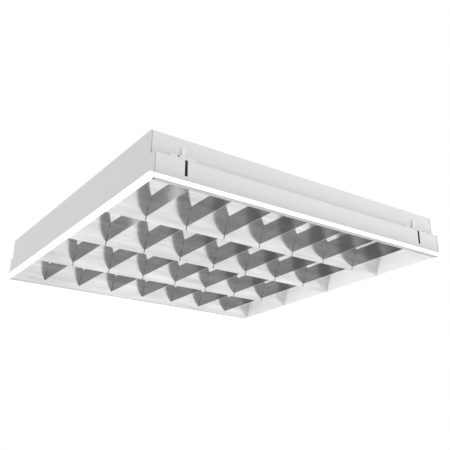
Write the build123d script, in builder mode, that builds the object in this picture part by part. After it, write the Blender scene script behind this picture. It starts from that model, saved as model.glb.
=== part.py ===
from build123d import *
import os

# A recessed troffer light for a 600 mm ceiling grid, lying as it hangs, with the lamps along X.
# Z = 0 is the underside of its flange, and the origin is the middle of the square.

os.makedirs("parts", exist_ok=True)

# ---------------------------------------------------------------- driving dimensions, in mm

# Housing, of painted sheet steel
outer = 596.0             # flange, outside to outside, both ways
flange_width = 12.8       # visible rim
lower_height = 38.9       # from the flange to the ledge
ledge_width = 11.2        # step in the long sides
total_height = 75.3
sheet = 0.8
bend_radius = 0.5         # inside a fold
tab_width = 24.0          # end plate's tabs, spot-welded under the top sheet
tab_depth = 9.0
suspension_x = 400.0      # holes in the top, for the hanging rods
suspension_y = 200.0
suspension_hole_radius = 2.75

# Slots and fold-out grid clips in the long sides
slot_width = 4.6
slot_bottom = 14.0
slot_inset = 49.6         # from the end plate's outside
clip_length = 44.0
clip_sheet = 1.0
clip_gap = 0.3            # from the plate to the upper wall, and to its ears
clip_plate_height = 9.6   # above the ledge
clip_tab_height = 20.1
clip_tab_width = 5.0
clip_pin_radius = 1.0     # of the bead rolled along the plate's lower edge
clip_pin_height = 2.0     # above the ledge
clip_pin_out = 1.8        # from the upper wall
clip_pin_fit = 0.05
clip_ear_sheet = 1.2
clip_ear_depth = 3.8      # from the upper wall
clip_ear_height = 4.2
clip_ear_chamfer = 1.4

# Louvre, of bright aluminium
bays = 4                  # one lamp in each
cells = 8                 # along each lamp
end_cell_length = 65.9    # the two end cells are shorter than the rest
foil = 0.5
louvre_bottom = 0.5
louvre_headroom = 5.0     # from the dividers' tops to the gear cover
fold_half_width = 0.8     # of a divider's lower edge
mid_half_width = 9.2      # of a divider at its middle height
top_half_width = 25.7     # of a divider at its upper edge
blade_bottom = 6.5
blade_top = 36.5
blade_slit_top = 19.5     # the dividers are slit from below up to here
hook_bottom = 29.5        # and again for the blade's hooks
hook_top = 34.3
hook_reach = 1.2          # past the divider's face, at the hook's ends
slit_width = 1.4
slit_clearance = 0.15
side_slit_bottom = 7.3
side_slit_top = 26.1
tongue_reach = 0.7        # past the side reflector's face
strip_width = 5.6         # flat lower edge of a side reflector
strip_gap = 2.5           # from the strip to the housing wall
strip_notch = 1.7         # by which the strip is shorter than the reflector
end_wall_gap = 0.6        # from the louvre's end wall to the end plate
end_wall_sheet = 0.6
end_wall_drop = 2.5       # from the lampholders down to the end wall's top

# Lamps, T5 of 14 W, which are 549 mm long from cap face to cap face, and their holders
lamp_drop = 21.5          # from the top sheet to a lamp's axis
glass_radius = 8.0
cap_radius = 8.2
cap_length = 12.0
lamp_pin_radius = 1.175
lamp_pin_sides = 8
lamp_pin_length = 7.1
lamp_pin_spacing = 4.75
holder_depth = 9.6
holder_clearance = 0.3    # from the cap to the holder's face
holder_radius = 12.0
holder_chamfer = 7.0      # of the lower corners
holder_foot_width = 28.0
holder_foot_height = 5.0
holder_back = 1.2         # solid wall behind the rotor
rotor_radius = 7.2
rotor_clearance = 0.3
rotor_slot = 2.8
rail_width = 24.0
rail_lip = 7.0
rail_end_gap = 2.0
rail_notch_gap = 0.3

# Control gear
ballast_length = 360.0
ballast_end_gap = 80.4    # from the right-hand rail
ballast_width = 39.0
ballast_height = 20.5
ballast_lug = 9.0
ballast_lug_sheet = 1.0
ballast_bevel = 2.0
ballast_terminal_length = 16.0
ballast_terminal_height = 14.0
ballast_terminal_poles = 5
cover_sheet = 0.6
cover_bottom_half = 28.0
cover_top_half = 42.0
cover_flange = 7.0
cover_clearance = 3.0     # under the ballast
cover_end_gap = 16.4      # from the rails
screw_radius = 1.9
screw_head_radius = 3.6
screw_head_height = 2.2
screw_fit = 0.1
entry_gap = 38.4          # from the right-hand rail to the cable entry
entry_y = 17.0
grommet_hole_radius = 10.0
grommet_bore_radius = 5.5
grommet_flange = 2.5
grommet_lip = 1.2
terminal_gap = 20.0       # from the ballast's end
terminal_y = -20.0
terminal_length = 30.0
terminal_width = 17.0
terminal_height = 14.0
terminal_poles = 3
terminal_pitch = 5.0
terminal_hole = 2.4       # square, for a wire
terminal_hole_depth = 6.0
terminal_slot_length = 4.0
terminal_slot_depth = 3.0
earth_gap = 10.0          # from the ballast's end
earth_y = -16.0
earth_radius = 2.0
earth_washer_radius = 5.5
loom_radius = 2.0         # eight-sided bundle
loom_sides = 8
loom_drop = 9.5           # of a loom's middle below the top sheet
loom_bend = 14.0
loom_y = 8.0              # sideways from the ballast's middle
loom_x_gap = 7.8          # from the holders' faces
lead_radius = 1.0
lead_offset = 9.0         # sideways from a lamp's axis
mains_lead_y = 15.5       # from the middle of the ballast
mains_lead_pitch = 3.0

# Louvre hinge and catches
fitting_x = 150.0         # both ways from the middle
hinge_inset = 5.4         # from the wall's inner face to the pin
hinge_z = 4.6
hinge_pin_radius = 1.5
hinge_pin_fit = 0.05
knuckle_radius = 2.3
knuckle_length = 10.0
hinge_arm_sheet = 1.2
hinge_arm_top = 15.0
hinge_plate_top = 27.0
lug_sheet = 1.2
lug_radius = 2.8
lug_gap = 0.4
lug_base_sheet = 0.6
lug_base_length = 26.0
lug_base_half = 2.4
catch_length = 14.0
catch_sheet = 0.4
catch_foot_gap = 0.7      # from the spring's foot to the strip's edges
catch_lead_in = 3.5
catch_nose_z = 8.0
catch_nose_gap = 1.4      # from the nose to the wall
catch_top = 15.0
keeper_length = 20.0
keeper_sheet = 0.6
keeper_bottom = 3.0
keeper_top = 13.0
keeper_rib_z = 5.8
keeper_rib_radius = 0.5

# ---------------------------------------------------------------- places that follow from them

box_half = outer / 2 - flange_width         # outside of the lower walls and end plates
inner_half = box_half - sheet
upper_half = box_half - ledge_width
upper_inner = upper_half - sheet
ceiling_z = total_height - sheet            # underside of the top sheet
ledge_z = lower_height
slot_x = box_half - slot_inset
rail_inner = inner_half - rail_width
louvre_half_width = inner_half - strip_gap
reflector_line = louvre_half_width - strip_width
louvre_half_length = inner_half - end_wall_gap
divider_half_length = louvre_half_length - end_wall_sheet
cover_bottom = ceiling_z - ballast_height - cover_clearance
divider_top = cover_bottom - louvre_headroom
profile_middle_z = (louvre_bottom + divider_top) / 2
bay_pitch = 2 * reflector_line / bays
blade_pitch = 2 * (divider_half_length - end_cell_length) / (cells - 2)
divider_lines = [bay_pitch * (i - bays / 2) for i in range(1, bays)]
blade_lines = [blade_pitch * (i - cells / 2) for i in range(1, cells)]
lamp_lines = [bay_pitch * (i - (bays - 1) / 2) for i in range(bays)]
lamp_axis_z = ceiling_z - lamp_drop
holder_face = inner_half - holder_depth
cap_face = holder_face - holder_clearance
rail_z = ceiling_z - sheet
end_wall_top = lamp_axis_z - holder_radius - end_wall_drop
hinge_y = inner_half - hinge_inset
ballast_x = rail_inner - ballast_end_gap - ballast_length / 2
ballast_end = ballast_x + ballast_length / 2
terminal_x = ballast_end + terminal_gap + terminal_length / 2
earth_x = ballast_end + earth_gap
entry_x = rail_inner - entry_gap


def finish(part, name):
    """Labels a finished piece and writes it to its own file."""
    part.label = name
    export_step(part, f"parts/{name}.step")


# ---------------------------------------------------------------- housing

# One folded sheet, drawn along its outside from one flange to the other, and thickened inwards
with BuildPart() as housing_body:
    with BuildSketch(Plane.YZ.offset(-inner_half)):
        with BuildLine():
            FilletPolyline(
                (-outer / 2, 0),
                (-inner_half, 0),
                (-inner_half, lower_height - sheet),
                (-upper_inner, lower_height - sheet),
                (-upper_inner, ceiling_z),
                (upper_inner, ceiling_z),
                (upper_inner, lower_height - sheet),
                (inner_half, lower_height - sheet),
                (inner_half, 0),
                (outer / 2, 0),
                radius=bend_radius,
            )
            offset(amount=sheet, side=Side.LEFT)
        make_face()
    extrude(amount=2 * inner_half)
    # Slots in the lower walls, up to the ledge
    with Locations((0, 0, (slot_bottom + lower_height - sheet) / 2)):
        with GridLocations(2 * slot_x, 2 * inner_half + sheet, 2, 2):
            Box(slot_width, 3 * sheet, lower_height - sheet - slot_bottom, mode=Mode.SUBTRACT)
    # Holes in the top: suspension rods, ballast screws, cable entry, earth screw
    with BuildSketch(Plane.XY.offset(ceiling_z - sheet)):
        with GridLocations(suspension_x, suspension_y, 2, 2):
            Circle(suspension_hole_radius)
        with Locations((ballast_x, 0)):
            with GridLocations(ballast_length - ballast_lug, 1, 2, 1):
                Circle(screw_radius + screw_fit)
        with Locations((entry_x, entry_y)):
            Circle(grommet_hole_radius)
        with Locations((earth_x, earth_y)):
            Circle(earth_radius + screw_fit)
    extrude(amount=3 * sheet, mode=Mode.SUBTRACT)
finish(housing_body.part, "housing_body")

# Stepped end plates, each with its stretch of flange, and with tabs welded under the top sheet
for side, name in ((-1, "end_plate_left"), (1, "end_plate_right")):
    with BuildPart() as end_plate:
        with BuildSketch(Plane.YZ.offset(side * (inner_half + sheet / 2))):
            with BuildLine():
                Polyline(
                    (-box_half, 0),
                    (-box_half, lower_height),
                    (-upper_half, lower_height),
                    (-upper_half, total_height),
                    (upper_half, total_height),
                    (upper_half, lower_height),
                    (box_half, lower_height),
                    (box_half, 0),
                    close=True,
                )
            make_face()
        extrude(amount=sheet / 2, both=True)
        with Locations((side * (inner_half + outer / 2) / 2, 0, sheet / 2)):
            Box(outer / 2 - inner_half, outer, sheet)
        with Locations((side * (inner_half - tab_depth / 2), 0, ceiling_z - sheet / 2)):
            with GridLocations(1, bay_pitch, 1, bays - 1):
                Box(tab_depth, tab_width, sheet)
    finish(end_plate.part, name)

# ---------------------------------------------------------------- grid clips on the ledges

clip_pin_z = ledge_z + clip_pin_height
clip_plate_half = clip_length / 2 - clip_ear_sheet - clip_gap

for x_side, x_name in ((-1, "left"), (1, "right")):
    for y_side, y_name in ((-1, "front"), (1, "rear")):
        clip_x = x_side * slot_x
        with BuildPart() as grid_clip:
            # Upright plate with a tongue, against the upper wall
            with BuildSketch(Plane.XZ.offset(-y_side * (upper_half + clip_gap))):
                with Locations((clip_x, (clip_pin_z + ledge_z + clip_plate_height) / 2)):
                    Rectangle(2 * clip_plate_half, ledge_z + clip_plate_height - clip_pin_z)
                with Locations((clip_x, (clip_pin_z + ledge_z + clip_tab_height) / 2)):
                    Rectangle(clip_tab_width, ledge_z + clip_tab_height - clip_pin_z)
            extrude(amount=-y_side * clip_sheet)
            # Bead along the lower edge, whose ends turn in the ears
            with BuildSketch(Plane.YZ.offset(clip_x)):
                with Locations((y_side * (upper_half + clip_pin_out), clip_pin_z)):
                    Circle(clip_pin_radius)
            extrude(amount=clip_length / 2, both=True)
        finish(grid_clip.part, f"grid_clip_{y_name}_{x_name}")

# Pairs of ears that stand on the ledges and carry the clips' beads
with BuildPart() as clip_ears:
    for x_side in (-1, 1):
        for y_side in (-1, 1):
            for end in (-1, 1):
                ear_x = x_side * slot_x + end * (clip_length - clip_ear_sheet) / 2
                with BuildSketch(Plane.YZ.offset(ear_x)):
                    with BuildLine():
                        Polyline(
                            (y_side * upper_half, ledge_z),
                            (y_side * upper_half, ledge_z + clip_ear_height),
                            (
                                y_side * (upper_half + clip_ear_depth - clip_ear_chamfer),
                                ledge_z + clip_ear_height,
                            ),
                            (
                                y_side * (upper_half + clip_ear_depth),
                                ledge_z + clip_ear_height - clip_ear_chamfer,
                            ),
                            (y_side * (upper_half + clip_ear_depth), ledge_z),
                            close=True,
                        )
                    make_face()
                    with Locations((y_side * (upper_half + clip_pin_out), clip_pin_z)):
                        Circle(clip_pin_radius + clip_pin_fit, mode=Mode.SUBTRACT)
                extrude(amount=clip_ear_sheet / 2, both=True)
finish(clip_ears.part, "grid_clip_ears")

# ---------------------------------------------------------------- lampholder rails and holders

for side, name in ((-1, "left"), (1, "right")):
    with BuildPart() as rail:
        with BuildSketch(Plane.XZ):
            with BuildLine():
                FilletPolyline(
                    (side * inner_half, ceiling_z - sheet),
                    (side * (rail_inner + sheet), ceiling_z - sheet),
                    (side * (rail_inner + sheet), ceiling_z - rail_lip),
                    radius=bend_radius,
                )
                offset(amount=sheet, side=Side.RIGHT if side > 0 else Side.LEFT)
            make_face()
        extrude(amount=upper_inner - rail_end_gap, both=True)
        # Notches that clear the end plate's tabs
        with Locations((side * (inner_half - tab_depth / 2), 0, ceiling_z - sheet / 2)):
            with GridLocations(1, bay_pitch, 1, bays - 1):
                Box(
                    tab_depth + 2 * rail_notch_gap,
                    tab_width + 2 * rail_notch_gap,
                    2 * sheet,
                    mode=Mode.SUBTRACT,
                )
    finish(rail.part, f"lampholder_rail_{name}")

    for number, lamp_y in enumerate(lamp_lines, start=1):
        with BuildPart() as holder:
            # Bevelled below, with a foot that hooks into the rail
            with BuildSketch(Plane.YZ.offset(side * holder_face)) as holder_front:
                with Locations((lamp_y, (lamp_axis_z - holder_radius + rail_z) / 2)):
                    Rectangle(2 * holder_radius, rail_z - lamp_axis_z + holder_radius)
                chamfer(holder_front.vertices().group_by(Axis.Z)[0], length=holder_chamfer)
                with Locations((lamp_y, rail_z - holder_foot_height / 2)):
                    Rectangle(holder_foot_width, holder_foot_height)
            extrude(amount=side * holder_depth)
            # Bore of the rotor, and the slot through which the pins come in from below
            with BuildSketch(Plane.YZ.offset(side * holder_face)):
                with Locations((lamp_y, lamp_axis_z)):
                    Circle(rotor_radius + rotor_clearance)
                with Locations((lamp_y, lamp_axis_z - holder_radius / 2)):
                    Rectangle(rotor_slot, holder_radius)
            extrude(amount=side * (holder_depth - holder_back), mode=Mode.SUBTRACT)
        finish(holder.part, f"lampholder_{name}_{number}")

# ---------------------------------------------------------------- lamps, which twist in the rotors

rotor_back = inner_half - holder_back - rotor_clearance

for number, lamp_y in enumerate(lamp_lines, start=1):
    with BuildPart() as tube:
        with BuildSketch(Plane.YZ):
            with Locations((lamp_y, lamp_axis_z)):
                Circle(glass_radius)
        extrude(amount=cap_face - cap_length, both=True)
    finish(tube.part, f"lamp_tube_{number}")

    with BuildPart() as caps:
        for side in (-1, 1):
            with BuildSketch(Plane.YZ.offset(side * (cap_face - cap_length))):
                with Locations((lamp_y, lamp_axis_z)):
                    Circle(cap_radius)
            extrude(amount=side * cap_length)
            with BuildSketch(Plane.YZ.offset(side * cap_face)):
                with Locations((lamp_y, lamp_axis_z)):
                    with GridLocations(lamp_pin_spacing, 1, 2, 1):
                        RegularPolygon(lamp_pin_radius, lamp_pin_sides)
            extrude(amount=side * lamp_pin_length)
    finish(caps.part, f"lamp_caps_{number}")

    with BuildPart() as rotors:
        for side in (-1, 1):
            with BuildSketch(Plane.YZ.offset(side * (holder_face + rotor_clearance))):
                with Locations((lamp_y, lamp_axis_z)):
                    Circle(rotor_radius)
                    Rectangle(2 * rotor_radius, rotor_slot, mode=Mode.SUBTRACT)
            extrude(amount=side * (rotor_back - holder_face - rotor_clearance))
            # A thin back joins the rotor's two halves behind the pins
            with BuildSketch(Plane.YZ.offset(side * (cap_face + lamp_pin_length))):
                with Locations((lamp_y, lamp_axis_z)):
                    Circle(rotor_radius)
            extrude(amount=side * (rotor_back - cap_face - lamp_pin_length))
    finish(rotors.part, f"lamp_rotors_{number}")

# ---------------------------------------------------------------- louvre


def half_width_at(z):
    """Gives a divider's half width at a height, on the parabola through its three named widths."""
    rise = (z - louvre_bottom) / (divider_top - louvre_bottom)
    return (
        fold_half_width * (1 - rise) * (1 - 2 * rise)
        + mid_half_width * 4 * rise * (1 - rise)
        + top_half_width * rise * (2 * rise - 1)
    )


def divider_section(grow):
    """Draws a divider's filled section about Y = 0, wider on each side by grow."""
    with BuildSketch() as section:
        with BuildLine():
            right = ThreePointArc(
                (fold_half_width + grow, louvre_bottom),
                (mid_half_width + grow, profile_middle_z),
                (top_half_width + grow, divider_top),
            )
            lower = Line(right @ 0, (-fold_half_width - grow, louvre_bottom))
            left = ThreePointArc(
                lower @ 1,
                (-mid_half_width - grow, profile_middle_z),
                (-top_half_width - grow, divider_top),
            )
            Line(left @ 1, right @ 1)
        make_face()
    return section.sketch


# Dividers: a folded V of parabolic section, slit from below for the blades and again for their hooks
for number, line_y in enumerate(divider_lines, start=1):
    with BuildPart() as divider:
        with BuildSketch(Plane.YZ):
            with BuildLine():
                left = ThreePointArc(
                    (line_y - top_half_width, divider_top),
                    (line_y - mid_half_width, profile_middle_z),
                    (line_y - fold_half_width, louvre_bottom),
                )
                fold = Line(left @ 1, (line_y + fold_half_width, louvre_bottom))
                ThreePointArc(
                    fold @ 1,
                    (line_y + mid_half_width, profile_middle_z),
                    (line_y + top_half_width, divider_top),
                )
                offset(amount=foil, side=Side.LEFT, kind=Kind.INTERSECTION)
            make_face()
        extrude(amount=divider_half_length, both=True)
        for blade_x in blade_lines:
            with Locations((blade_x, line_y, (louvre_bottom + blade_slit_top) / 2)):
                Box(slit_width, 2 * top_half_width, blade_slit_top - louvre_bottom, mode=Mode.SUBTRACT)
            with Locations((blade_x, line_y, (hook_bottom + hook_top) / 2)):
                Box(slit_width, 2 * top_half_width, hook_top - hook_bottom, mode=Mode.SUBTRACT)
    finish(divider.part, f"divider_{number}")

# Side reflectors: half of the same section, with a flat strip along its lower edge
for side, name in ((-1, "side_reflector_front"), (1, "side_reflector_rear")):
    with BuildPart() as reflector:
        with BuildSketch(Plane.YZ):
            with BuildLine():
                strip = Line(
                    (side * louvre_half_width, louvre_bottom),
                    (side * (reflector_line - fold_half_width), louvre_bottom),
                )
                ThreePointArc(
                    strip @ 1,
                    (side * (reflector_line - mid_half_width), profile_middle_z),
                    (side * (reflector_line - top_half_width), divider_top),
                )
                offset(amount=foil, side=Side.RIGHT if side > 0 else Side.LEFT, kind=Kind.INTERSECTION)
            make_face()
        extrude(amount=divider_half_length, both=True)
        # The strip is notched at both ends, and the face is slit for the blades' tongues
        with Locations((0, side * (louvre_half_width - strip_width / 2), louvre_bottom)):
            with GridLocations(2 * divider_half_length, 1, 2, 1):
                Box(2 * strip_notch, strip_width, 4 * foil, mode=Mode.SUBTRACT)
        slit_y = side * (reflector_line - mid_half_width)
        for blade_x in blade_lines:
            with Locations((blade_x, slit_y, (side_slit_bottom + side_slit_top) / 2)):
                Box(slit_width, 4 * mid_half_width, side_slit_top - side_slit_bottom, mode=Mode.SUBTRACT)
    finish(reflector.part, name)

# Cross blades: flat strips that straddle the dividers and reach into the side reflectors' slits
hook_inner = half_width_at(hook_bottom) - hook_reach
hook_outer = half_width_at(hook_top) + hook_reach
with BuildSketch() as tongues:
    with Locations((0, (side_slit_bottom + side_slit_top) / 2)):
        Rectangle(2 * reflector_line, side_slit_top - side_slit_bottom - 2 * slit_clearance)
    with Locations((-reflector_line, 0), (reflector_line, 0)):
        add(divider_section(-tongue_reach), mode=Mode.SUBTRACT)
    Rectangle(2 * (reflector_line - top_half_width), 2 * divider_top, mode=Mode.SUBTRACT)
with BuildSketch() as blade_outline:
    with Locations((0, (blade_bottom + blade_top) / 2)):
        Rectangle(2 * reflector_line, blade_top - blade_bottom)
    with Locations(*[(line_y, 0) for line_y in divider_lines]):
        add(divider_section(slit_clearance), mode=Mode.SUBTRACT)
    with Locations((0, (blade_bottom + blade_slit_top - slit_clearance) / 2)):
        Rectangle(2 * reflector_line, blade_slit_top - slit_clearance - blade_bottom)
    with Locations((-reflector_line, 0), (reflector_line, 0)):
        add(divider_section(slit_clearance), mode=Mode.SUBTRACT)
    add(tongues.sketch)
    # Hooks that reach through the dividers' upper slits
    for line_y in divider_lines:
        with Locations((line_y, (hook_bottom + hook_top) / 2)):
            with GridLocations(hook_inner + hook_outer, 1, 2, 1):
                Rectangle(hook_outer - hook_inner, hook_top - hook_bottom - 2 * slit_clearance)

for number, blade_x in enumerate(blade_lines, start=1):
    with BuildPart() as blade:
        with BuildSketch(Plane.YZ.offset(blade_x)):
            add(blade_outline.sketch)
        extrude(amount=foil / 2, both=True)
    finish(blade.part, f"cross_blade_{number}")

# End walls: flat plates between the side reflectors, against which the dividers end
for side, name in ((-1, "louvre_end_left"), (1, "louvre_end_right")):
    with BuildPart() as end_wall:
        with BuildSketch(Plane.YZ.offset(side * divider_half_length)):
            with BuildLine():
                front = ThreePointArc(
                    (-reflector_line + fold_half_width - foil, louvre_bottom),
                    (-reflector_line + mid_half_width - foil, profile_middle_z),
                    (-reflector_line + top_half_width - foil, divider_top),
                )
                upper = Line(front @ 1, (reflector_line - top_half_width + foil, divider_top))
                rear = ThreePointArc(
                    upper @ 1,
                    (reflector_line - mid_half_width + foil, profile_middle_z),
                    (reflector_line - fold_half_width + foil, louvre_bottom),
                )
                Line(rear @ 1, front @ 0)
            make_face()
            with Locations((0, (end_wall_top + divider_top) / 2)):
                Rectangle(2 * reflector_line, divider_top - end_wall_top, mode=Mode.SUBTRACT)
        extrude(amount=side * end_wall_sheet)
    finish(end_wall.part, name)

# ---------------------------------------------------------------- control gear

ballast_face = ballast_length / 2 - ballast_lug          # from the ballast's middle
ballast_case_half = ballast_face - ballast_terminal_length
ballast_plate_z = ceiling_z - ballast_lug_sheet
ballast_bottom = ceiling_z - ballast_height
loom_z = ceiling_z - loom_drop

# A folded case with bevelled lower edges, on a base plate that ends in two screw lugs
with BuildPart() as ballast:
    with BuildSketch(Plane.YZ.offset(ballast_x)):
        with BuildLine():
            Polyline(
                (-ballast_width / 2, ceiling_z),
                (-ballast_width / 2, ballast_bottom + ballast_bevel),
                (-ballast_width / 2 + ballast_bevel, ballast_bottom),
                (ballast_width / 2 - ballast_bevel, ballast_bottom),
                (ballast_width / 2, ballast_bottom + ballast_bevel),
                (ballast_width / 2, ceiling_z),
                close=True,
            )
        make_face()
    extrude(amount=ballast_case_half, both=True)
    with Locations((ballast_x, 0, ceiling_z - ballast_lug_sheet / 2)):
        Box(ballast_length, ballast_width, ballast_lug_sheet)
        with GridLocations(ballast_length - ballast_lug, 1, 2, 1):
            Hole(screw_radius + screw_fit, depth=2 * ballast_lug_sheet)
finish(ballast.part, "ballast")

# Push-in terminals at both ends of the case, with their wire holes facing outwards
with BuildPart() as ballast_terminals:
    for side in (-1, 1):
        with BuildSketch(Plane.YZ.offset(ballast_x + side * ballast_case_half)):
            with Locations((0, ballast_plate_z - ballast_terminal_height / 2)):
                Rectangle(ballast_width, ballast_terminal_height)
        extrude(amount=side * ballast_terminal_length)
        with BuildSketch(Plane.YZ.offset(ballast_x + side * ballast_face)):
            with Locations((0, ballast_plate_z - ballast_terminal_height / 4)):
                with GridLocations(terminal_pitch, 1, ballast_terminal_poles, 1):
                    Rectangle(terminal_hole, terminal_hole)
        extrude(amount=-side * terminal_hole_depth, mode=Mode.SUBTRACT)
finish(ballast_terminals.part, "ballast_terminals")

with BuildPart() as ballast_screws:
    with BuildSketch(Plane.XY.offset(ballast_plate_z)):
        with Locations((ballast_x, 0)):
            with GridLocations(ballast_length - ballast_lug, 1, 2, 1):
                Circle(screw_radius)
    extrude(amount=ballast_lug_sheet + sheet)
    with BuildSketch(Plane.XY.offset(ballast_plate_z)):
        with Locations((ballast_x, 0)):
            with GridLocations(ballast_length - ballast_lug, 1, 2, 1):
                RegularPolygon(screw_head_radius, 6)
    extrude(amount=-screw_head_height)
finish(ballast_screws.part, "ballast_screws")

# White channel that hides the gear between the two middle lamps
with BuildPart() as gear_cover:
    with BuildSketch(Plane.YZ):
        with BuildLine():
            FilletPolyline(
                (-cover_top_half - cover_flange, ceiling_z - cover_sheet),
                (-cover_top_half, ceiling_z - cover_sheet),
                (-cover_bottom_half, cover_bottom),
                (cover_bottom_half, cover_bottom),
                (cover_top_half, ceiling_z - cover_sheet),
                (cover_top_half + cover_flange, ceiling_z - cover_sheet),
                radius=bend_radius + cover_sheet,
            )
            offset(amount=cover_sheet, side=Side.LEFT)
        make_face()
    extrude(amount=rail_inner - cover_end_gap, both=True)
finish(gear_cover.part, "gear_cover")

# Mains terminal block, with a wire hole and two release slots for each pole
with BuildPart() as terminal_block:
    with Locations((terminal_x, terminal_y, ceiling_z - terminal_height / 2)):
        Box(terminal_length, terminal_width, terminal_height)
    with BuildSketch(Plane.YZ.offset(terminal_x + terminal_length / 2)):
        with Locations((terminal_y, loom_z)):
            with GridLocations(terminal_pitch, 1, terminal_poles, 1):
                Rectangle(terminal_hole, terminal_hole)
    extrude(amount=-terminal_hole_depth, mode=Mode.SUBTRACT)
    with BuildSketch(Plane.XY.offset(ceiling_z - terminal_height)):
        with Locations((terminal_x, terminal_y)):
            with GridLocations(terminal_length / 2, terminal_pitch, 2, terminal_poles):
                Rectangle(terminal_slot_length, terminal_hole)
    extrude(amount=terminal_slot_depth, mode=Mode.SUBTRACT)
finish(terminal_block.part, "terminal_block")

# Earth screw in the top sheet, with its washer
with BuildPart() as earth_screw:
    with BuildSketch(Plane.XY.offset(ceiling_z)):
        with Locations((earth_x, earth_y)):
            Circle(screw_radius)
    extrude(amount=sheet)
    with BuildSketch(Plane.XY.offset(ceiling_z)):
        with Locations((earth_x, earth_y)):
            Circle(earth_washer_radius)
    extrude(amount=-sheet)
    with BuildSketch(Plane.XY.offset(ceiling_z - sheet)):
        with Locations((earth_x, earth_y)):
            RegularPolygon(screw_head_radius, 6)
    extrude(amount=-screw_head_height)
finish(earth_screw.part, "earth_screw")

# Rubber bush, pushed through the top sheet from above up to its flange
with BuildPart() as cable_grommet:
    with BuildSketch(Plane.XZ.offset(-entry_y)):
        with BuildLine():
            Polyline(
                (entry_x + grommet_bore_radius, ceiling_z - grommet_lip),
                (entry_x + grommet_hole_radius, ceiling_z - grommet_lip),
                (entry_x + grommet_hole_radius, total_height),
                (entry_x + grommet_hole_radius + grommet_flange, total_height),
                (entry_x + grommet_hole_radius + grommet_flange, total_height + grommet_lip),
                (entry_x + grommet_bore_radius, total_height + grommet_lip),
                close=True,
            )
        make_face()
    revolve(axis=Axis((entry_x, entry_y, 0), (0, 0, 1)))
finish(cable_grommet.part, "cable_grommet")

# Looms from the ballast's ends, past the rails' lips and along the holders, with a lead to each
for side, name in ((-1, "wiring_loom_left"), (1, "wiring_loom_right")):
    loom_x = side * (holder_face - loom_x_gap)
    with BuildPart() as loom:
        for y_side in (-1, 1):
            with BuildLine():
                route = FilletPolyline(
                    (ballast_x + side * ballast_face, y_side * loom_y, loom_z),
                    (loom_x, y_side * loom_y, loom_z),
                    (loom_x, y_side * (lamp_lines[-1] + lead_offset + loom_radius), loom_z),
                    radius=loom_bend,
                )
            with BuildSketch(Plane(origin=route @ 0, x_dir=(0, 0, 1), z_dir=route % 0)):
                RegularPolygon(loom_radius, loom_sides, rotation=180 / loom_sides)
            sweep()
            for lamp_y in lamp_lines:
                if lamp_y * y_side > 0:
                    with BuildSketch(Plane.YZ.offset(loom_x)):
                        with Locations((lamp_y + y_side * lead_offset, loom_z)):
                            RegularPolygon(lead_radius, loom_sides)
                    extrude(amount=side * loom_x_gap)
    finish(loom.part, name)

with BuildPart() as mains_leads:
    with BuildSketch(Plane.YZ.offset(ballast_x + ballast_face)):
        with Locations((-mains_lead_y, loom_z)):
            with GridLocations(mains_lead_pitch, 1, terminal_poles, 1):
                RegularPolygon(lead_radius, loom_sides)
    extrude(amount=ballast_lug + terminal_gap)
finish(mains_leads.part, "mains_leads")

# ---------------------------------------------------------------- louvre hinge and catches

# Brackets on the rear wall: a plate, an arm that comes down over the pin, and a knuckle round it
with BuildPart() as hinge_brackets:
    for hinge_x in (-fitting_x, fitting_x):
        with BuildSketch(Plane.YZ.offset(hinge_x)):
            with BuildLine():
                Polyline(
                    (inner_half, hinge_plate_top),
                    (inner_half, hinge_arm_top),
                    (hinge_y + hinge_arm_sheet / 2, hinge_arm_top),
                    (hinge_y + hinge_arm_sheet / 2, hinge_z),
                )
                offset(amount=hinge_arm_sheet, side=Side.RIGHT, kind=Kind.INTERSECTION)
            make_face()
            with Locations((hinge_y, hinge_z)):
                Circle(knuckle_radius)
                Circle(hinge_pin_radius + hinge_pin_fit, mode=Mode.SUBTRACT)
        extrude(amount=knuckle_length / 2, both=True)
finish(hinge_brackets.part, "hinge_brackets")

# Lugs on the louvre's rear strip, with the pin riveted between each pair
lug_x = (knuckle_length + lug_sheet) / 2 + lug_gap
strip_top = louvre_bottom + foil
with BuildPart() as hinge_lugs:
    for hinge_x in (-fitting_x, fitting_x):
        with Locations((hinge_x, hinge_y, strip_top + lug_base_sheet / 2)):
            Box(lug_base_length, 2 * lug_base_half, lug_base_sheet)
        for end in (-1, 1):
            with BuildSketch(Plane.YZ.offset(hinge_x + end * lug_x)):
                with Locations((hinge_y, hinge_z)):
                    RegularPolygon(lug_radius, 8, rotation=22.5)
                with Locations((hinge_y, (strip_top + hinge_z) / 2)):
                    Rectangle(2 * lug_base_half, hinge_z - strip_top)
            extrude(amount=lug_sheet / 2, both=True)
        with BuildSketch(Plane.YZ.offset(hinge_x)):
            with Locations((hinge_y, hinge_z)):
                Circle(hinge_pin_radius)
        extrude(amount=lug_x, both=True)
finish(hinge_lugs.part, "louvre_hinge_lugs")

# Leaf springs on the louvre's front strip, bent to a nose that snaps over the keeper's rib
with BuildPart() as catches:
    for catch_x in (-fitting_x, fitting_x):
        with BuildSketch(Plane.YZ.offset(catch_x)):
            with BuildLine():
                Polyline(
                    (-reflector_line - catch_foot_gap, strip_top),
                    (-louvre_half_width + catch_foot_gap, strip_top),
                    (-inner_half + catch_nose_gap, catch_nose_z),
                    (-inner_half + catch_nose_gap + catch_lead_in, catch_top),
                )
                offset(amount=catch_sheet, side=Side.RIGHT, kind=Kind.INTERSECTION)
            make_face()
        extrude(amount=catch_length / 2, both=True)
finish(catches.part, "louvre_catches")

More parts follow.
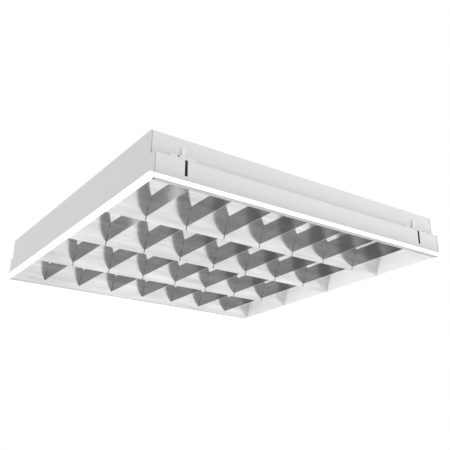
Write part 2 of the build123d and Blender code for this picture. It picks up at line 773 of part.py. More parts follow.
with BuildPart() as keepers:
    for catch_x in (-fitting_x, fitting_x):
        with BuildSketch(Plane.YZ.offset(catch_x)):
            with Locations((-inner_half + keeper_sheet / 2, (keeper_bottom + keeper_top) / 2)):
                Rectangle(keeper_sheet, keeper_top - keeper_bottom)
            with Locations((-inner_half + keeper_sheet, keeper_rib_z)):
                Circle(keeper_rib_radius)
        extrude(amount=keeper_length / 2, both=True)
finish(keepers.part, "catch_keepers")
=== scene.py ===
import bpy
import math
import numpy as np
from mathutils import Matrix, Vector


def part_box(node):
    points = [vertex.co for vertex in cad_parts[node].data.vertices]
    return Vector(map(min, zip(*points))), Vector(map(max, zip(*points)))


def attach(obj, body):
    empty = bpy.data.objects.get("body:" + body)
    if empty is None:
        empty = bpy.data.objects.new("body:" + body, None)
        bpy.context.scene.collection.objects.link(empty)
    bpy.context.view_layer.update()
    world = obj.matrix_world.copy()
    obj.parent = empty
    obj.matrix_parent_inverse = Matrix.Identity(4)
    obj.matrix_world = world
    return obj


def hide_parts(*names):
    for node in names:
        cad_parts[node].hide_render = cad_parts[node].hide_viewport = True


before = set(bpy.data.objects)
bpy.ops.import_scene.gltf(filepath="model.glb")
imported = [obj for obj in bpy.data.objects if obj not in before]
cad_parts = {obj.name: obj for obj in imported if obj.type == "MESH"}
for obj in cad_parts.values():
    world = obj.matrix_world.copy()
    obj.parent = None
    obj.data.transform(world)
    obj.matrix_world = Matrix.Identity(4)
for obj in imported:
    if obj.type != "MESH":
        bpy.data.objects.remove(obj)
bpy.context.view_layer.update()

# ---------------------------------------------------------------- where the light hangs
# The light hangs with its flange at z = 0, and the viewer stands below it and to the left.
# Soft lamps stand round it. The floor is far below, and the bright louvre mirrors it as a card that
# goes from grey on the left to white on the right, in place of a studio.

camera_place = Vector((-0.6714, -1.0032, -0.3797))
camera_aim = Vector((0.0090, -0.0369, 0.0714))
camera_lens = 54.81           # mm
camera_sensor = 36.0          # mm
camera_reach = 50.0
camera_shift = (-0.0079, 0.0056)
floor_z = -2.0
floor_half = 9.0
floor_shade = 0.90
floor_rough = 0.9
world_level = 0.63
card_span = (-1.2, 1.1)       # along X, of the floor that the louvre mirrors
card_level = (0.36, 1.05)     # its grey on the left, and its white on the right
card_bounces = 2.5            # a reflection that took more bounces than this shows the card dimmer
card_after_bounces = 0.20     # by this factor

camera_data = bpy.data.cameras.new("viewer")
camera_data.sensor_width = camera_sensor
camera_data.lens = camera_lens
camera_data.shift_x, camera_data.shift_y = camera_shift
camera_data.clip_end = camera_reach
camera = bpy.data.objects.new("viewer", camera_data)
bpy.context.scene.collection.objects.link(camera)
camera.location = camera_place
camera.rotation_mode = "QUATERNION"
camera.rotation_quaternion = (camera_aim - camera_place).to_track_quat("-Z", "Y")
bpy.context.scene.camera = camera
bpy.context.scene.view_settings.view_transform = "Standard"


def worked_out(nodes, links, operation, *inputs):
    """One Math node: the operation on sockets or numbers. Gives its output."""
    node = nodes.new("ShaderNodeMath")
    node.operation = operation
    for socket, value in zip(node.inputs, inputs):
        if isinstance(value, float):
            socket.default_value = value
        else:
            links.new(value, socket)
    return node.outputs[0]


def seen_directly(nodes, links):
    """1 for rays from the camera and for those that a mirror or glass sends on, else 0: the highest
    of the three."""
    path = nodes.new("ShaderNodeLightPath").outputs
    direct = worked_out(nodes, links, "MAXIMUM", path["Is Camera Ray"], path["Is Glossy Ray"])
    return worked_out(nodes, links, "MAXIMUM", direct, path["Is Transmission Ray"])


world = bpy.data.worlds.new("studio")
bpy.context.scene.world = world
world.use_nodes = True
nodes, links = world.node_tree.nodes, world.node_tree.links
nodes.clear()
backdrop = nodes.new("ShaderNodeBackground")
backdrop.inputs["Strength"].default_value = 1.0       # exactly white
room_light = nodes.new("ShaderNodeBackground")
room_light.inputs["Strength"].default_value = world_level
choice = nodes.new("ShaderNodeMixShader")
world_out = nodes.new("ShaderNodeOutputWorld")
backdrop.inputs["Color"].default_value = (1, 1, 1, 1)
room_light.inputs["Color"].default_value = (1, 1, 1, 1)
links.new(seen_directly(nodes, links), choice.inputs[0])
links.new(room_light.outputs[0], choice.inputs[1])
links.new(backdrop.outputs[0], choice.inputs[2])
links.new(choice.outputs[0], world_out.inputs["Surface"])

floor_mesh = bpy.data.meshes.new("floor")
floor_mesh.from_pydata(
    [(x * floor_half, y * floor_half, floor_z) for x, y in ((-1, -1), (1, -1), (1, 1), (-1, 1))],
    [],
    [(0, 1, 2, 3)],
)
floor = bpy.data.objects.new("floor", floor_mesh)
bpy.context.scene.collection.objects.link(floor)
floor_paint = bpy.data.materials.new("floor_paint")
floor_paint.use_nodes = True
nodes, links = floor_paint.node_tree.nodes, floor_paint.node_tree.links
paint = nodes["Principled BSDF"]
paint.inputs["Base Color"].default_value = (floor_shade, floor_shade, floor_shade, 1)
paint.inputs["Roughness"].default_value = floor_rough
floor_place = nodes.new("ShaderNodeTexCoord")
floor_axes = nodes.new("ShaderNodeSeparateXYZ")
links.new(floor_place.outputs["Object"], floor_axes.inputs[0])
card = nodes.new("ShaderNodeMapRange")       # what the louvre mirrors of the floor
card.interpolation_type = "SMOOTHSTEP"
for key, value in zip(("From Min", "From Max", "To Min", "To Max"), (*card_span, *card_level)):
    card.inputs[key].default_value = value
links.new(floor_axes.outputs["X"], card.inputs["Value"])
path = nodes.new("ShaderNodeLightPath")
dimmed = nodes.new("ShaderNodeMapRange")
dimmed.inputs["To Min"].default_value = 1.0
dimmed.inputs["To Max"].default_value = card_after_bounces
often = worked_out(nodes, links, "GREATER_THAN", path.outputs["Ray Depth"], card_bounces)
links.new(often, dimmed.inputs["Value"])
glow = nodes.new("ShaderNodeEmission")
links.new(card.outputs[0], glow.inputs["Color"])
links.new(dimmed.outputs[0], glow.inputs["Strength"])
shown = nodes.new("ShaderNodeMixShader")
links.new(path.outputs["Is Glossy Ray"], shown.inputs[0])
links.new(paint.outputs[0], shown.inputs[1])
links.new(glow.outputs[0], shown.inputs[2])
links.new(shown.outputs[0], nodes["Material Output"].inputs["Surface"])
floor_mesh.materials.append(floor_paint)

# Name, middle, what it is aimed at, width and depth, and power in watts. None shows in mirrors.
# The fill below is aimed at the louvre's right end.
lamps = (
    ("softbox_below", (1.15, -0.70, -0.78), (1.15, -0.70, 1.0), (3.2, 3.0), 36.0),
    ("fill_front", (0.4, -2.2, 0.5), (0, 0, 0.04), (1.8, 1.8), 2.0),
    ("fill_below", (-0.15, -0.10, -0.55), (0.285, 0, 0.02), (0.5, 0.5), 3.1),
    ("fill_left", (-2.2, 0.2, 0.2), (0, 0, 0.04), (1.6, 1.6), 4.0),
)
for name, place, target, size, power in lamps:
    lamp = bpy.data.lights.new(name, "AREA")
    lamp.shape = "RECTANGLE"
    lamp.size, lamp.size_y = size
    lamp.energy = power
    stand = bpy.data.objects.new(name, lamp)
    bpy.context.scene.collection.objects.link(stand)
    stand.location = place
    stand.rotation_mode = "QUATERNION"
    stand.rotation_quaternion = (Vector(target) - Vector(place)).to_track_quat("-Z", "Y")
    stand.visible_camera = False
    stand.visible_glossy = False

# ---------------------------------------------------------------- housing
# Folded and welded from 0.8 mm sheet steel and painted white, with an even satin powder coat.
# The two stepped end plates close it; where they meet the long sides, a thin dark line of painted shade
# stands for the joint's gap. Inside, the white is darkened to grey: painted shade of the hollow.

sheet = 0.0008
inner_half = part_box("housing_body")[1].x      # the end plates start here
total_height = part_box("housing_body")[1].z
ledge_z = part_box("grid_clip_ears")[0].z
clip_gap = 0.0003
upper_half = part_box("grid_clip_rear_left")[0].y - clip_gap
joint_width = 0.0008
inside_shade_paleness = 0.36             # how much of the outer paleness is left inside, where the colour is darkened as painted shade
side_shade_low = 0.0001        # lower edge of the painted inside shade, on the long sides
plate_shade_low = 0.016        # and on the end plates
# painted shade of the joint's gap: the dark line keeps this share of the colour's paleness
joint_shade = 0.22
gloss_drift = 0.15            # of the roughness, both ways


def finish(
    name, colour, rough, metal=0.0, grain=(1, 1, 1), scale=400.0, bump=0.02, depth=0.0002, spread=0.03
):
    """A material whose colour and gloss drift a little with a fine noise: colour times 1 - spread to
    1 + spread, roughness likewise by its own drift, and the same noise as a shallow relief."""
    made = bpy.data.materials.new(name)
    made.use_nodes = True
    nodes, links = made.node_tree.nodes, made.node_tree.links
    base = nodes["Principled BSDF"]
    base.inputs["Metallic"].default_value = metal
    place = nodes.new("ShaderNodeTexCoord")
    stretch = nodes.new("ShaderNodeMapping")
    stretch.inputs["Scale"].default_value = grain
    links.new(place.outputs["Object"], stretch.inputs["Vector"])
    noise = nodes.new("ShaderNodeTexNoise")
    noise.inputs["Scale"].default_value = scale
    noise.inputs["Detail"].default_value = 3.0
    links.new(stretch.outputs[0], noise.inputs["Vector"])
    tint = nodes.new("ShaderNodeMix")
    tint.data_type = "RGBA"
    tint.inputs["A"].default_value = (*[c * (1 - spread) for c in colour], 1)
    tint.inputs["B"].default_value = (*[min(1.0, c * (1 + spread)) for c in colour], 1)
    links.new(noise.outputs["Fac"], tint.inputs["Factor"])
    links.new(tint.outputs["Result"], base.inputs["Base Color"])
    gloss = nodes.new("ShaderNodeMapRange")
    gloss.inputs["To Min"].default_value = rough * (1 - gloss_drift)
    gloss.inputs["To Max"].default_value = rough * (1 + gloss_drift)
    links.new(noise.outputs["Fac"], gloss.inputs["Value"])
    links.new(gloss.outputs[0], base.inputs["Roughness"])
    relief = nodes.new("ShaderNodeBump")
    relief.inputs["Strength"].default_value = bump
    relief.inputs["Distance"].default_value = depth
    links.new(noise.outputs["Fac"], relief.inputs["Height"])
    links.new(relief.outputs[0], base.inputs["Normal"])
    return made


def dress(material, *names):
    """Gives the pieces that are shown as they were built their material."""
    for name in names:
        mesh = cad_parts[name].data
        mesh.materials.clear()
        mesh.materials.append(material)


def enamel_and_inside_shade(name, with_joint_shade, low_edge):
    """White enamel outside. Inside, where |x|, |y| and z all lie within the sheet and z is above the low
    edge, the colour is darkened to grey: painted shade of the housing's hollow. The joint flag adds a dark
    line of painted shade for the joint's gap, where |x| comes within a joint's width of the end plates."""
    made = finish(name, (0.86, 0.86, 0.86), 0.42, scale=900.0, bump=0.05)
    nodes, links = made.node_tree.nodes, made.node_tree.links
    place = nodes.new("ShaderNodeTexCoord")
    axes = nodes.new("ShaderNodeSeparateXYZ")
    links.new(place.outputs["Object"], axes.inputs[0])
    x = worked_out(nodes, links, "ABSOLUTE", axes.outputs["X"])
    y = worked_out(nodes, links, "ABSOLUTE", axes.outputs["Y"])
    z = axes.outputs["Z"]
    above_ledge = worked_out(nodes, links, "GREATER_THAN", z, ledge_z - sheet / 2)
    step_in = worked_out(nodes, links, "MULTIPLY", above_ledge, inner_half - upper_half + sheet)
    wall_y = worked_out(nodes, links, "SUBTRACT", inner_half + sheet / 3, step_in)
    inside = worked_out(nodes, links, "LESS_THAN", y, wall_y)
    for test in (
        worked_out(nodes, links, "LESS_THAN", x, inner_half + sheet / 2),
        worked_out(nodes, links, "LESS_THAN", z, total_height - sheet / 2),
        worked_out(nodes, links, "GREATER_THAN", z, low_edge),
    ):
        inside = worked_out(nodes, links, "MULTIPLY", inside, test)
    # painted shade: the inside of the housing is darkened, as its hollow would be in shade
    shade = worked_out(nodes, links, "MULTIPLY", inside, 1.0 - inside_shade_paleness)
    # painted shade: a dark line for the gap where the end plates meet the long sides
    if with_joint_shade:
        joint = worked_out(nodes, links, "GREATER_THAN", x, inner_half - joint_width)
        outside = worked_out(nodes, links, "SUBTRACT", 1.0, inside)
        joint = worked_out(nodes, links, "MULTIPLY", joint, outside)
        above_flange = worked_out(nodes, links, "GREATER_THAN", z, sheet)
        joint = worked_out(nodes, links, "MULTIPLY", joint, above_flange)
        joint = worked_out(nodes, links, "MULTIPLY", joint, 1.0 - joint_shade)
        shade = worked_out(nodes, links, "MAXIMUM", shade, joint)
    base = nodes["Principled BSDF"]
    tint = base.inputs["Base Color"].links[0].from_socket
    darker = nodes.new("ShaderNodeMix")
    darker.data_type = "RGBA"
    darker.inputs["B"].default_value = (0, 0, 0, 1)
    links.new(shade, darker.inputs["Factor"])
    links.new(tint, darker.inputs["A"])
    links.new(darker.outputs["Result"], base.inputs["Base Color"])
    return made


dress(enamel_and_inside_shade("white_enamel", True, side_shade_low), "housing_body")
dress(enamel_and_inside_shade("white_enamel_plate", False, plate_shade_low), "end_plate_left", "end_plate_right")

# ---------------------------------------------------------------- louvre, dividers and side reflectors
# Bright anodised aluminium foil, pressed into parabolic troughs that throw the light down.
# The dividers are folded to a V and slit from below for the cross blades, and again for their hooks.

foil = 0.0005
divider_low, divider_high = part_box("divider_2")
louvre_bottom = divider_low.z
trough_top = divider_high.z   # where the troughs' width is given
divider_top = 0.060           # they go on upwards from there, beside the lamps
divider_end = divider_high.x
fold_half = 0.0008
mid_half = 0.0097
top_half = 0.0227
fold_rise = 0.0005            # height of the rounded fold
blade_nodes = [f"cross_blade_{i}" for i in range(1, 8)]
divider_nodes = [f"divider_{i}" for i in range(1, 4)]
blade_lines = np.array([sum(corner.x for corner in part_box(n)) / 2 for n in blade_nodes])
divider_lines = np.array([sum(corner.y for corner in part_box(n)) / 2 for n in divider_nodes])
slit_half = 0.0007
blade_slit_top = 0.0195
hook_bottom = 0.0295
hook_top = 0.0343


def circle_through(a, b, c):
    """Centre and radius of the circle through three points: the centre is as far from all three, which
    gives two linear equations."""
    a, b, c = (np.array(p, float) for p in (a, b, c))
    centre = np.linalg.solve(2 * np.array([b - a, c - a]), [b @ b - a @ a, c @ c - a @ a])
    return centre, np.linalg.norm(a - centre)


trough_centre, trough_radius = circle_through(
    (fold_half, louvre_bottom),
    (mid_half, (louvre_bottom + trough_top) / 2),
    (top_half, trough_top),
)


def half_width(z):
    """Half width of a divider at height z: its centre's distance, less the root of radius squared less
    rise squared."""
    return trough_centre[0] - np.sqrt(trough_radius**2 - (z - trough_centre[1]) ** 2)


def put_mesh(name, points, faces, smooth, body, material, stands_for=()):
    """Makes a piece from its points and faces, each face smooth or flat, and lets it ride on its body.
    The edges of flat faces are sharp, so that they don't bend the light on the smooth faces beside them."""
    mesh = bpy.data.meshes.new(name)
    mesh.from_pydata(points.tolist(), [], faces)
    smooth = np.broadcast_to(smooth, len(faces)).astype(bool)
    mesh.polygons.foreach_set("use_smooth", smooth)
    edge_of, corners = np.empty(len(mesh.loops), int), np.empty(len(faces), int)
    mesh.loops.foreach_get("edge_index", edge_of)
    mesh.polygons.foreach_get("loop_total", corners)
    sharp = np.zeros(len(mesh.edges), bool)
    sharp[edge_of[np.repeat(~smooth, corners)]] = True
    mesh.attributes.new("sharp_edge", "BOOLEAN", "EDGE").data.foreach_set("value", sharp)
    mesh.materials.append(material)
    made = bpy.data.objects.new(name, mesh)
    bpy.context.scene.collection.objects.link(made)
    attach(made, body)
    if stands_for:
        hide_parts(*stands_for)
    return made


def sheet_metal(front, back, keep=None):
    """A closed sheet from its front and back, two grids of points alike in shape. keep says which cells
    are metal: each kept cell has a face on both sides, and a rim runs from front to back wherever a kept
    cell ends. The front's normal is the first step crossed with the second. Gives points, faces and
    which faces are smooth."""
    rows, columns = front.shape[:2]
    keep = np.ones((rows - 1, columns - 1), bool) if keep is None else keep
    number = np.arange(rows * columns).reshape(rows, columns)
    other = number + rows * columns
    corners = [number[:-1, :-1], number[1:, :-1], number[1:, 1:], number[:-1, 1:]]
    face = np.stack(corners, -1)[keep]
    behind = (face + rows * columns)[:, ::-1]
    wide = np.pad(keep, 1).astype(int)
    along = wide[1:, 1:-1] - wide[:-1, 1:-1]      # +1 where a row of cells starts, -1 where it ends
    across = wide[1:-1, 1:] - wide[1:-1, :-1]
    u, v = number[:, :-1], number[:, 1:]
    first = np.stack([u, v, other[:, 1:], other[:, :-1]], -1)
    u, v = number[:-1], number[1:]
    second = np.stack([v, u, other[:-1], other[1:]], -1)
    starts, ends = [first[along == 1], second[across == 1]], [first[along == -1], second[across == -1]]
    faces = np.concatenate([face, behind, *starts, *(rim[:, ::-1] for rim in ends)])
    points = np.concatenate([front.reshape(-1, 3), back.reshape(-1, 3)])
    used, again = np.unique(faces, return_inverse=True)
    smooth = np.arange(len(faces)) < 2 * len(face)
    return points[used], again.reshape(faces.shape).tolist(), smooth


def offset_profile(y, z, thickness):
    """A profile moved sideways by thickness: each point goes along the line's normal, which is its
    direction turned left."""
    dy, dz = np.gradient(y), np.gradient(z)
    length = np.hypot(dy, dz)
    return y - thickness * dz / length, z + thickness * dy / length


def along_x(xs, y, z):
    """The grid of a profile carried along X: rows along X, columns along the profile."""
    return np.stack(np.broadcast_arrays(xs[:, None], y[None, :], z[None, :]), -1)


levels = np.concatenate([
    np.linspace(louvre_bottom + fold_rise, blade_slit_top, 11),
    np.linspace(blade_slit_top, hook_bottom, 7)[1:],
    np.linspace(hook_bottom, hook_top, 4)[1:],
    np.linspace(hook_top, divider_top, 15)[1:],
])
slit_edges = np.sort(np.concatenate([blade_lines - slit_half, blade_lines + slit_half]))
stations = np.concatenate([[-divider_end], slit_edges, [divider_end]])
in_slit = np.arange(len(stations) - 1) % 2 == 1
turn = np.linspace(-math.pi / 2, math.pi / 2, 9)[1:-1]

mirror = finish(
    "bright_aluminium", (0.86, 0.86, 0.86), 0.16,
    metal=1.0, grain=(0.12, 1, 1), scale=75.0, bump=0.0, spread=0.45,
)

widths = half_width(levels)
profile_y = np.concatenate([-widths[::-1], widths[0] * np.sin(turn), widths])
profile_z = np.concatenate([
    levels[::-1],
    louvre_bottom + fold_rise * (1 - np.cos(turn)),
    levels,
])
inner_y, inner_z = offset_profile(profile_y, profile_z, foil)
middle_z = (profile_z[1:] + profile_z[:-1]) / 2
slit_zone = (middle_z < blade_slit_top) | ((middle_z > hook_bottom) & (middle_z < hook_top))
divider_keep = ~(in_slit[:, None] & slit_zone[None, :])
for line, node in zip(divider_lines, divider_nodes):
    points, faces, smooth = sheet_metal(
        along_x(stations, line + inner_y, inner_z),
        along_x(stations, line + profile_y, profile_z),
        divider_keep,
    )
    put_mesh(f"parabolic_{node}", points, faces, smooth, "louvre", mirror, (node,))

reflector_low, reflector_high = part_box("side_reflector_rear")
strip_edge = reflector_high.y
reflector_line = reflector_low.y + divider_high.y
side_slit = (0.0073, 0.0261)
strip_notch = 0.0017
side_levels = np.concatenate([
    np.linspace(louvre_bottom, side_slit[0], 7),
    np.linspace(side_slit[0], side_slit[1], 11)[1:],
    np.linspace(side_slit[1], divider_top, 21)[1:],
])
side_stations = np.concatenate([
    [-divider_end, -divider_end + strip_notch],
    slit_edges,
    [divider_end - strip_notch, divider_end],
])
side_in_slit = np.isin(np.arange(len(side_stations) - 1), np.arange(2, len(side_stations) - 2, 2))
for side, node in ((-1, "side_reflector_front"), (1, "side_reflector_rear")):
    face_y = reflector_line - half_width(side_levels)
    y = np.concatenate([[strip_edge], face_y])
    z = np.concatenate([[louvre_bottom], side_levels])
    behind_y, behind_z = offset_profile(y, z, -foil)
    behind_y[1] = face_y[0] + foil
    behind_z[:2] = louvre_bottom + foil
    middle_z = (z[1:] + z[:-1]) / 2
    keep = ~(side_in_slit[:, None] & ((middle_z > side_slit[0]) & (middle_z < side_slit[1]))[None, :])
    keep[[0, -1], 0] = False
    shown = along_x(side_stations, side * y, z)
    hidden = along_x(side_stations, side * behind_y, behind_z)
    pair = (hidden, shown) if side < 0 else (shown, hidden)
    points, faces, smooth = sheet_metal(*pair, keep)
    put_mesh(f"parabolic_{node}", points, faces, smooth, "louvre", mirror, (node,))

# ---------------------------------------------------------------- louvre, cross blades and end walls
# Flat strips of the same foil, which straddle the dividers and hook into them and into the side reflectors.
# The two end walls close the louvre's ends, cut to the troughs' outline, and are coated white.

flat_foil = finish(
    "flat_aluminium", (0.87, 0.87, 0.87), 0.12,
    metal=1.0, grain=(1, 0.12, 1), scale=90.0, bump=0.0, spread=0.22,
)
white_foil = finish("white_end_wall", (0.97, 0.97, 0.97), 0.5, scale=60.0, bump=0.01, spread=0.02)

blade_low, blade_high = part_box("cross_blade_4")
blade_bottom, blade_top = blade_low.z, blade_high.z
slit_clearance = 0.00015
hook_reach = 0.0012
tongue_reach = 0.0007

blade_levels = np.concatenate([
    [blade_bottom],
    np.linspace(side_slit[0] + slit_clearance, blade_slit_top - slit_clearance, 6),
    [side_slit[1] - slit_clearance],
    np.linspace(hook_bottom + slit_clearance, hook_top - slit_clearance, 4),
    [blade_top],
])
blade_width = half_width(blade_levels) + slit_clearance
edges = [-reflector_line + blade_width - slit_clearance - tongue_reach, -reflector_line + blade_width]
for line in divider_lines:
    reach = slit_clearance + hook_reach
    edges += [line - blade_width, line - blade_width + reach, line + blade_width - reach, line + blade_width]
edges += [reflector_line - blade_width, reflector_line - blade_width + slit_clearance + tongue_reach]
outline = np.stack(edges, 1)
level_middle = (blade_levels[1:] + blade_levels[:-1]) / 2
blade_keep = np.ones((len(blade_levels) - 1, outline.shape[1] - 1), bool)
tongue = (level_middle > side_slit[0]) & (level_middle < side_slit[1])
hooked = (level_middle > hook_bottom) & (level_middle < hook_top)
through = level_middle < blade_slit_top
blade_keep[:, [0, -1]] = tongue[:, None]
for i in range(len(divider_lines)):
    start = 2 + 4 * i
    blade_keep[:, [start, start + 2]] = (through | hooked)[:, None]
    blade_keep[:, start + 1] = through
for line, node in zip(blade_lines, blade_nodes):
    heights = np.broadcast_to(blade_levels[:, None], outline.shape)
    face = np.stack([np.full_like(outline, line), outline, heights], -1)
    shift = np.array([foil / 2, 0, 0])
    points, faces, smooth = sheet_metal(face - shift, face + shift, blade_keep)
    put_mesh(f"flat_{node}", points, faces, smooth, "louvre", flat_foil, (node,))

for side, node in ((-1, "louvre_end_left"), (1, "louvre_end_right")):
    end_low, end_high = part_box(node)
    end_levels = np.linspace(end_low.z, end_high.z, 20)
    half = reflector_line - half_width(end_levels) + foil
    share = np.linspace(-1, 1, 9)
    face = np.stack(np.broadcast_arrays(0.0, half[:, None] * share, end_levels[:, None]), -1)
    points, faces, smooth = sheet_metal(face + [end_low.x, 0, 0], face + [end_high.x, 0, 0])
    put_mesh(f"closing_{node}", points, faces, smooth, "louvre", white_foil, (node,))

# ---------------------------------------------------------------- grid clips
# Punched plates of white coated sheet on the ledges, which fold out over the ceiling grid's tees.
# Each has a rolled bead that turns in two ears, a rounded tongue, and a small near black pin: painted shade
# for a small hole in the plate.

clip_length = 0.044
clip_plate_end = 0.0014       # the plate is shorter than its bead, at each end
clip_sheet = 0.0010
clip_pin_z = 0.0409
clip_pin_out = 0.0018         # from the upper wall
clip_pin_radius = 0.0010
bead_rounding = 0.0003
clip_plate_top = 0.0475
clip_tongue_top = 0.0590
clip_tongue_half = 0.0025
clip_lean = 0.27              # of the plate, outwards for each metre upwards
# Where the dark pin sits: it stands in, as painted shade, for the shadow inside a small hole in the plate.
dark_pin_offset = -0.0075        # from the clip's middle
dark_pin_z = 0.0462
dark_pin_radius = 0.0013
dark_pin_head = 0.0004


def turned(along, radius, sides=48):
    """A closed surface of revolution about X. Its first and last radius are zero and make the poles, and each
    ring between has its points at the sides' angles. Gives points and faces."""
    angles = np.linspace(0, 2 * math.pi, sides, endpoint=False)
    rings = len(along) - 2
    x = np.repeat(along[1:-1], sides)
    y = (radius[1:-1, None] * np.cos(angles)).ravel()
    z = (radius[1:-1, None] * np.sin(angles)).ravel()
    points = np.stack([np.append(x, along[[0, -1]]), np.append(y, [0, 0]), np.append(z, [0, 0])], 1)
    here = np.arange(sides)
    following = (here + 1) % sides
    row = np.arange(rings - 1)[:, None] * sides
    corners = [row + here, row + following, row + sides + following, row + sides + here]
    quads = np.stack(corners, -1).reshape(-1, 4)
    last = (rings - 1) * sides
    first_fan = np.stack([np.full(sides, rings * sides), following, here], 1)
    last_fan = np.stack([np.full(sides, rings * sides + 1), last + here, last + following], 1)
    return points, quads.tolist() + first_fan.tolist() + last_fan.tolist()


def rounded_rod(half, radius, rounding, steps=6):
    """The profile of a rod with rounded ends: a quarter circle at each end, from the pole to the full
    radius."""
    angle = np.linspace(0, math.pi / 2, steps)
    along = half - rounding * (1 - np.sin(angle))
    outwards = radius - rounding * (1 - np.cos(angle))
    along, outwards = along[::-1], outwards[::-1]
    along = np.concatenate([[-half], -along, along[::-1], [half]])
    return along, np.concatenate([[0], outwards, outwards[::-1], [0]])


clip_white = finish("clip_coat", (0.98, 0.98, 0.98), 0.40, scale=700.0, bump=0.04, spread=0.02)
# Near black: painted shade of a small hole in each clip plate.
dark_pin_shade = finish("dark_pin_hole_shade", (0.05, 0.05, 0.05), 0.45, metal=0.6, scale=600.0)
dress(clip_white, "grid_clip_ears")
clip_plate_half = clip_length / 2 - clip_plate_end
tongue_across = clip_tongue_half * np.sin(np.linspace(-math.pi / 2, math.pi / 2, 13))
clip_across = np.concatenate([[-clip_plate_half], tongue_across, [clip_plate_half]])
clip_levels = np.concatenate([np.linspace(clip_pin_z, clip_plate_top, 4), np.linspace(0, 1, 6)[1:]])
tongue_rise = clip_tongue_top - clip_plate_top - clip_tongue_half
on_tongue = np.clip(clip_across, -clip_tongue_half, clip_tongue_half)
tongue_height = tongue_rise + np.sqrt(np.maximum(clip_tongue_half**2 - on_tongue**2, 0))
clip_z = np.broadcast_to(clip_levels, (len(clip_across), len(clip_levels))).copy()
clip_z[:, 4:] = clip_plate_top + tongue_height[:, None] * clip_levels[4:]
clip_keep = np.ones((len(clip_across) - 1, len(clip_levels) - 1), bool)
clip_keep[[0, -1], 3:] = False
for x_name in ("left", "right"):
    for y_side, y_name in ((-1, "front"), (1, "rear")):
        name = f"{y_name}_{x_name}"
        node, body = f"grid_clip_{name}", f"clip_{name}"
        clip_low, clip_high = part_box(node)
        middle_x = (clip_low.x + clip_high.x) / 2
        rise = np.minimum(clip_z, clip_plate_top) - clip_pin_z
        plate_y = upper_half + clip_gap + clip_lean * rise
        across = np.broadcast_to(middle_x + clip_across[:, None], clip_z.shape)
        wall_side = np.stack([across, y_side * plate_y, clip_z], -1)
        room_side = np.stack([across, y_side * (plate_y + clip_sheet), clip_z], -1)
        pair = (room_side, wall_side) if y_side < 0 else (wall_side, room_side)
        points, faces, smooth = sheet_metal(*pair, clip_keep)
        put_mesh(f"clip_plate_{name}", points, faces, False, body, clip_white, (node,))
        points, faces = turned(*rounded_rod(clip_length / 2, clip_pin_radius, bead_rounding), sides=24)
        points += [middle_x, y_side * (upper_half + clip_pin_out), clip_pin_z]
        put_mesh(f"clip_bead_{name}", points, faces, True, body, clip_white, (node,))
        # The dark pin, painted shade standing in for the clip plate's hole.
        points, faces = turned(*rounded_rod(clip_sheet / 2 + dark_pin_head, dark_pin_radius, dark_pin_head), sides=24)
        dark_pin_y = upper_half + clip_gap + clip_sheet / 2 + clip_lean * (dark_pin_z - clip_pin_z)
        quarter_turn = points[:, [1, 0, 2]] * [1, -1, 1]
        points = quarter_turn + [middle_x + dark_pin_offset, y_side * dark_pin_y, dark_pin_z]
        put_mesh(f"clip_dark_pin_{name}", points, faces, True, body, dark_pin_shade, (node,))

# ---------------------------------------------------------------- lampholder rails and holders
# Two folded rails under the ends of the top sheet carry the lampholders, moulded in white plastic.
# Each holder has a turning rotor in its slot, which takes the lamp's pins.

rail_enamel = finish("rail_enamel", (0.84, 0.84, 0.84), 0.45, scale=800.0, bump=0.05)
dress(rail_enamel, "lampholder_rail_left", "lampholder_rail_right")
holder_plastic = finish("holder_plastic", (0.84, 0.84, 0.82), 0.30, scale=1200.0, bump=0.03, spread=0.02)
rotor_plastic = finish("rotor_plastic", (0.72, 0.72, 0.70), 0.45, scale=1500.0, bump=0.05, spread=0.03)
lamp_numbers = range(1, 5)
for number in lamp_numbers:
    dress(holder_plastic, f"lampholder_left_{number}", f"lampholder_right_{number}")
    dress(rotor_plastic, f"lamp_rotors_{number}")

# ---------------------------------------------------------------- lamps
# Tubes of 16 mm glass, milky from the phosphor inside, drawn in at their ends and cemented into pressed caps.
# The caps are dull aluminium with two pins each.

glass_ends = 0.0030
tube_glass = finish("phosphor_glass", (0.90, 0.90, 0.88), 0.12, scale=120.0, bump=0.0, spread=0.015)
tube_glass.node_tree.nodes["Principled BSDF"].inputs["Coat Weight"].default_value = 0.6
cap_metal = finish(
    "cap_metal", (0.74, 0.74, 0.75), 0.32,
    metal=1.0, grain=(8, 1, 1), scale=250.0, bump=0.05, spread=0.06,
)
for number in lamp_numbers:
    node = f"lamp_tube_{number}"
    glass_low, glass_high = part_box(node)
    glass_radius = (glass_high.y - glass_low.y) / 2
    points, faces = turned(*rounded_rod(glass_high.x, glass_radius, glass_ends), sides=64)
    points += [0, (glass_low.y + glass_high.y) / 2, (glass_low.z + glass_high.z) / 2]
    put_mesh(f"glass_tube_{number}", points, faces, True, f"lamp_{number}", tube_glass, (node,))
    dress(cap_metal, f"lamp_caps_{number}")

# ---------------------------------------------------------------- ballast, terminals and their cover
# An electronic ballast in a light grey case hangs under the top sheet on two screws, by the mains terminals.
# A folded white cover goes under both of them.

case_paint = finish("ballast_paint", (0.70, 0.70, 0.69), 0.40, scale=600.0, bump=0.08, spread=0.03)
terminal_plastic = finish("terminal_plastic", (0.60, 0.61, 0.61), 0.50, scale=1100.0, bump=0.05, spread=0.04)
cover_enamel = finish("cover_enamel", (0.84, 0.84, 0.84), 0.42, scale=850.0, bump=0.05)
cover_sheet = 0.0006
cover_room = 0.0025           # on each side, to the middle divider
cover_top_half = 0.042
cover_bend = 0.0015


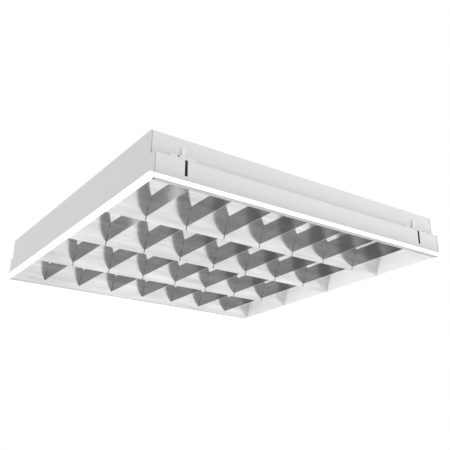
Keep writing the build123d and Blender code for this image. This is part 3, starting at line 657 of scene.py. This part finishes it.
def bent(corners, radius, steps=5):
    """A line through corners whose inner ones are rounded by arcs: each arc touches both runs at the
    radius times the tangent of half the turn from the corner."""
    corners = np.array(corners, float)
    line = [corners[:1]]
    for before, corner, after in zip(corners[:-2], corners[1:-1], corners[2:]):
        came, goes = corner - before, after - corner
        came, goes = came / np.linalg.norm(came), goes / np.linalg.norm(goes)
        turn = math.atan2(came[0] * goes[1] - came[1] * goes[0], came @ goes)
        start = corner - came * radius * abs(math.tan(turn / 2))
        angles = np.linspace(0, turn, steps)[:, None]
        side = np.array([-came[1], came[0]]) * math.copysign(radius, turn)
        line.append(start + side - side * np.cos(angles) + came * radius * np.sin(np.abs(angles)))
    line.append(corners[-1:])
    return np.concatenate(line)


cover_low, cover_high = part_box("gear_cover")
cover_bottom_half = half_width(cover_low.z) - foil - cover_room
half_cover = [(cover_bottom_half, cover_low.z), (cover_top_half, cover_high.z), (cover_high.y, cover_high.z)]
cover_line = bent([(-y, z) for y, z in half_cover[::-1]] + half_cover, cover_bend)
cover_y, cover_z = offset_profile(*cover_line.T, cover_sheet)
cover_x = np.linspace(cover_low.x, cover_high.x, 5)
points, faces, smooth = sheet_metal(along_x(cover_x, cover_y, cover_z), along_x(cover_x, *cover_line.T))
put_mesh("folded_gear_cover", points, faces, smooth, "housing", cover_enamel, ("gear_cover",))
zinc = finish("zinc_plate", (0.62, 0.63, 0.65), 0.34, metal=1.0, scale=350.0, bump=0.06, spread=0.12)
dress(case_paint, "ballast")
dress(terminal_plastic, "ballast_terminals", "terminal_block")
dress(zinc, "ballast_screws", "earth_screw")

# ---------------------------------------------------------------- wiring and the cable entry
# White sleeved looms run from the ballast's ends to the holders. A black rubber bush lines the cable
# hole in the top sheet.

sleeve = finish("wire_sleeve", (0.80, 0.80, 0.79), 0.55, scale=900.0, bump=0.10, spread=0.05)
rubber = finish("black_rubber", (0.035, 0.035, 0.035), 0.65, scale=500.0, bump=0.15, spread=0.20)
dress(sleeve, "wiring_loom_left", "wiring_loom_right", "mains_leads")
dress(rubber, "cable_grommet")

# ---------------------------------------------------------------- louvre hinge and catches
# Zinc plated brackets and lugs hinge the louvre at its rear edge. Bright leaf springs hold its front
# edge to the keepers.

spring_steel = finish(
    "spring_strip", (0.58, 0.59, 0.60), 0.22,
    metal=1.0, grain=(0.1, 1, 1), scale=900.0, bump=0.08, spread=0.10,
)
dress(zinc, "hinge_brackets", "louvre_hinge_lugs", "catch_keepers")
dress(spring_steel, "louvre_catches")
